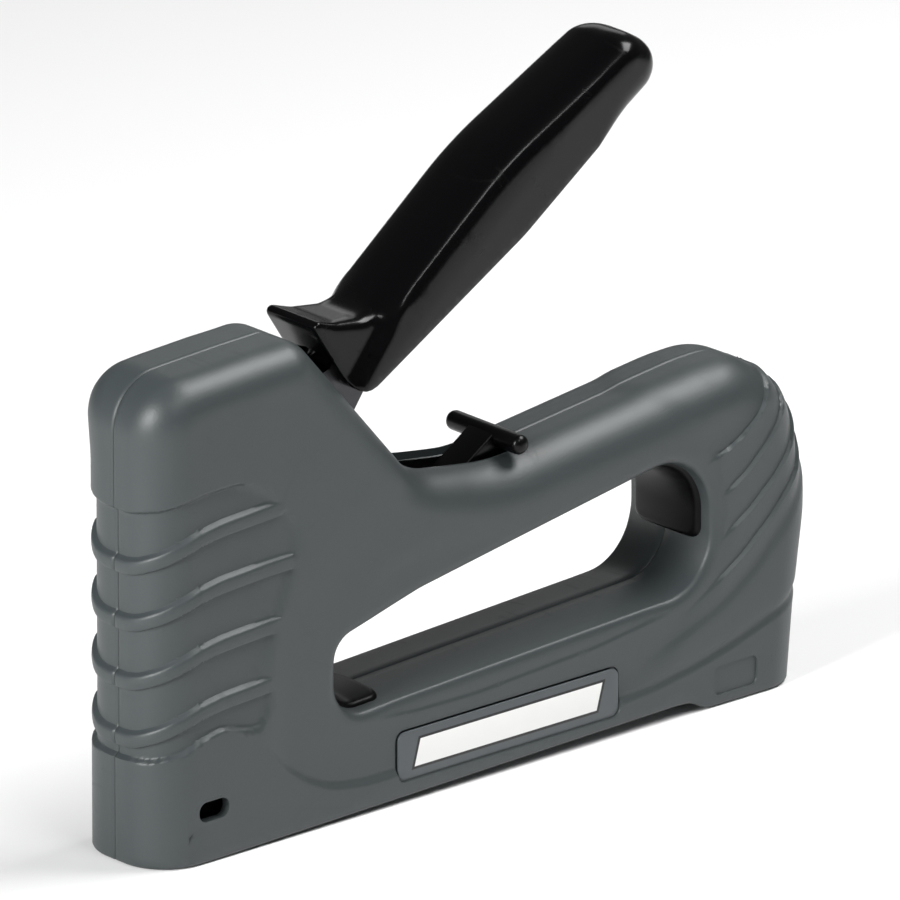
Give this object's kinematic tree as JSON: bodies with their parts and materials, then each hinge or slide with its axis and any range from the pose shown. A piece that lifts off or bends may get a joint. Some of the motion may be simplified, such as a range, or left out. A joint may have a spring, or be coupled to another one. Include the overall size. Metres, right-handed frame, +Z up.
{
  "type": "staple gun",
  "caption": "Hand-powered staple gun: two plastic shells with a hand opening, squeeze lever, handle lock, spring driver and a staple tray that slides out of the heel.",
  "frame": {"origin": "middle of the body's length and width, on the plane that the nose and the heel stand on", "axes": "+Z up, +X from the nose to the heel, seam between the two shells at Y = 0"},
  "size_m": [0.1886, 0.0288, 0.1574],
  "materials": {
    "body_plastic": "moulded satin grey plastic with a fine spark-eroded grain",
    "lever_plastic": "glossy black moulded plastic",
    "lock_plastic": "semi-gloss black moulded plastic",
    "pad_plastic": "glossy black overmoulded pad",
    "badge_plate": "plain grey label plate, left blank",
    "latch_plastic": "matt black plastic",
    "washer_plastic": "natural nylon",
    "bumper_rubber": "matt black rubber",
    "zinc_steel": "zinc-plated pressed steel",
    "pin_steel": "ground steel",
    "screw_steel": "black-oxide steel",
    "spring_steel": "oil-tempered spring wire",
    "staple_wire": "bright galvanised wire"
  },
  "bodies": {
    "body": {"left_shell": "body_plastic", "right_shell": "body_plastic", "shell_screws": "screw_steel", "front_finger_pad": "pad_plastic", "rear_finger_pad": "pad_plastic", "left_badge": "badge_plate", "right_badge": "badge_plate", "lever_pin": "pin_steel", "pivot_washer_left": "washer_plastic", "pivot_washer_right": "washer_plastic", "return_spring": "spring_steel", "nose_plate": "zinc_steel", "plunger_guide": "zinc_steel", "bumper": "bumper_rubber", "spring_cap": "washer_plastic", "power_spring": "spring_steel", "magazine_channel": "zinc_steel", "lock_pin": "pin_steel"},
    "lever": {"lever_cover": "lever_plastic", "lever_arm": "zinc_steel", "cover_pins": "pin_steel"},
    "driver": {"plunger": "zinc_steel", "driver_blade": "pin_steel", "blade_rivet": "pin_steel"},
    "tray": {"magazine_tray": "zinc_steel", "tray_end_cap": "latch_plastic", "guide_rod": "pin_steel", "staple_strip": "staple_wire", "pusher_spring": "spring_steel"},
    "pusher": {"staple_pusher": "zinc_steel"},
    "latch": {"latch_button": "latch_plastic"},
    "lock": {"lock_bar": "lock_plastic"}
  },
  "joints": [
    {"name": "lever_hinge", "type": "hinge", "parent": "body", "child": "lever", "pos_m": [-0.04295, 0, 0.0849], "axis": [0, 1, 0], "range_deg": [0, 32], "stiffness_Nm_per_rad": 0.3, "springref_deg": -40.11, "deforming": ["return_spring"]},
    {"name": "driver_slide", "type": "slide", "parent": "body", "child": "driver", "axis": [0, 0, 1], "range_m": [0, 0.0143], "deforming": ["power_spring"]},
    {"name": "tray_slide", "type": "slide", "parent": "body", "child": "tray", "axis": [1, 0, 0], "range_m": [0, 0.09]},
    {"name": "pusher_slide", "type": "slide", "parent": "tray", "child": "pusher", "axis": [1, 0, 0], "range_m": [0, 0.03], "stiffness_N_per_m": 60, "springref_m": -0.05, "deforming": ["pusher_spring"]},
    {"name": "latch_press", "type": "slide", "parent": "tray", "child": "latch", "axis": [-1, 0, 0], "range_m": [0, 0.0015], "stiffness_N_per_m": 400, "springref_m": -0.003},
    {"name": "lock_hinge", "type": "hinge", "parent": "body", "child": "lock", "pos_m": [-0.00555, 0, 0.0585], "axis": [0, 1, 0], "range_deg": [-15, 0]}
  ],
  "couplings": [
    {"joint": "driver_slide", "follows": "lever_hinge", "m_per_rad": 0.025435}
  ]
}
